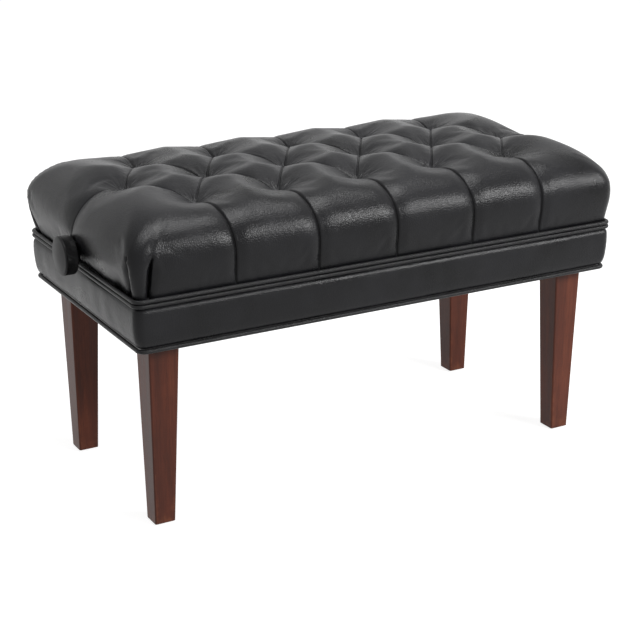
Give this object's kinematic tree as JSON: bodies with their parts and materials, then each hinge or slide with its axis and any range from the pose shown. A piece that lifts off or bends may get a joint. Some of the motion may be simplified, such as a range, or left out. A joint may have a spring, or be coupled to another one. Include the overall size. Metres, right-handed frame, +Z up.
{
  "type": "piano bench",
  "caption": "Height-adjustable piano bench: tufted black leather seat on a padded apron, tapered wooden legs, and end knobs on a lift screw with a scissor lift.",
  "frame": {"origin": "on the floor under the middle of the bench", "axes": "+X along the bench to the player's right seen from the front, +Y from front to back, +Z up; the seat is at its lowest"},
  "size_m": [0.84, 0.4, 0.465],
  "materials": {
    "leather": "semi-gloss, grained black leather",
    "piping_leather": "smooth semi-gloss black leather piping",
    "foam": "open-cell foam",
    "wadding": "soft polyester wadding",
    "twine": "waxed twine",
    "mahogany": "satin red-brown mahogany stain",
    "hardwood": "plain sanded hardwood",
    "plywood": "raw plywood",
    "rail_steel": "black powder coat",
    "arm_steel": "black powder coat",
    "bright_steel": "zinc plated",
    "screw_steel": "oiled steel thread",
    "brass": "turned brass",
    "nylon": "moulded nylon",
    "knob_plastic": "glossy black plastic, knurled rim"
  },
  "bodies": {
    "base": {"apron_back": "plywood", "apron_cover": "leather", "apron_foam": "foam", "apron_front": "plywood", "apron_left": "plywood", "apron_piping_lower": "piping_leather", "apron_piping_upper": "piping_leather", "apron_right": "plywood", "apron_screws": "bright_steel", "base_pivot_rings": "bright_steel", "base_pivot_shaft": "bright_steel", "base_rail_back": "rail_steel", "base_rail_front": "rail_steel", "base_rail_screws": "bright_steel", "brace_screws": "bright_steel", "corner_braces": "hardwood", "foot_glides": "nylon", "leg_back_left": "mahogany", "leg_back_right": "mahogany", "leg_bolts": "bright_steel", "leg_front_left": "mahogany", "leg_front_right": "mahogany", "leg_nuts": "bright_steel", "leg_washers": "bright_steel"},
    "seat": {"screw_bearings": "brass", "seat_board": "plywood", "seat_board_screws": "bright_steel", "seat_corner_screws": "bright_steel", "seat_cover": "leather", "seat_foam": "foam", "seat_piping": "piping_leather", "seat_rail_back": "hardwood", "seat_rail_front": "hardwood", "seat_rail_left": "hardwood", "seat_rail_right": "hardwood", "seat_wadding": "wadding", "top_pivot_rings": "bright_steel", "top_pivot_studs": "bright_steel", "top_rail_back": "rail_steel", "top_rail_front": "rail_steel", "top_rail_screws": "bright_steel", "tuft_ties": "twine"},
    "outer_arms": {"centre_pin_rings": "bright_steel", "centre_pins": "bright_steel", "outer_arm_back": "arm_steel", "outer_arm_front": "arm_steel"},
    "inner_arms": {"inner_arm_back": "arm_steel", "inner_arm_front": "arm_steel", "roller_axle": "bright_steel", "roller_axle_rings": "bright_steel", "rollers": "nylon"},
    "nut_carriage": {"nut_bar_rings": "bright_steel", "nut_bars": "bright_steel", "nut_block": "bright_steel"},
    "screw_and_knobs": {"knob_left": "knob_plastic", "knob_right": "knob_plastic", "lift_screw": "screw_steel", "set_screws": "bright_steel", "thrust_collars": "bright_steel"}
  },
  "joints": [
    {"name": "seat_lift", "type": "slide", "parent": "base", "child": "seat", "axis": [0, 0, 1], "range_m": [0, 0.089]},
    {"name": "outer_arm_swing", "type": "hinge", "parent": "base", "child": "outer_arms", "pos_m": [-0.23787, 0, 0.296], "axis": [0, -1, 0], "range_deg": [0, 10.93]},
    {"name": "inner_arm_swing", "type": "hinge", "parent": "seat", "child": "inner_arms", "pos_m": [-0.23787, 0, 0.359], "axis": [0, 1, 0], "range_deg": [0, 10.93]},
    {"name": "nut_travel", "type": "slide", "parent": "seat", "child": "nut_carriage", "axis": [-1, 0, 0], "range_m": [0, 0.02056]},
    {"name": "screw_turn", "type": "hinge", "parent": "seat", "child": "screw_and_knobs", "pos_m": [0, 0, 0.359], "axis": [1, 0, 0], "range_deg": [0, 2467.79]}
  ],
  "couplings": [
    {"joint": "outer_arm_swing", "follows": "seat_lift", "rad_per_m": 2.1419},
    {"joint": "inner_arm_swing", "follows": "seat_lift", "rad_per_m": 2.1419},
    {"joint": "nut_travel", "follows": "seat_lift", "ratio": 0.23095},
    {"joint": "screw_turn", "follows": "seat_lift", "rad_per_m": 483.7}
  ]
}
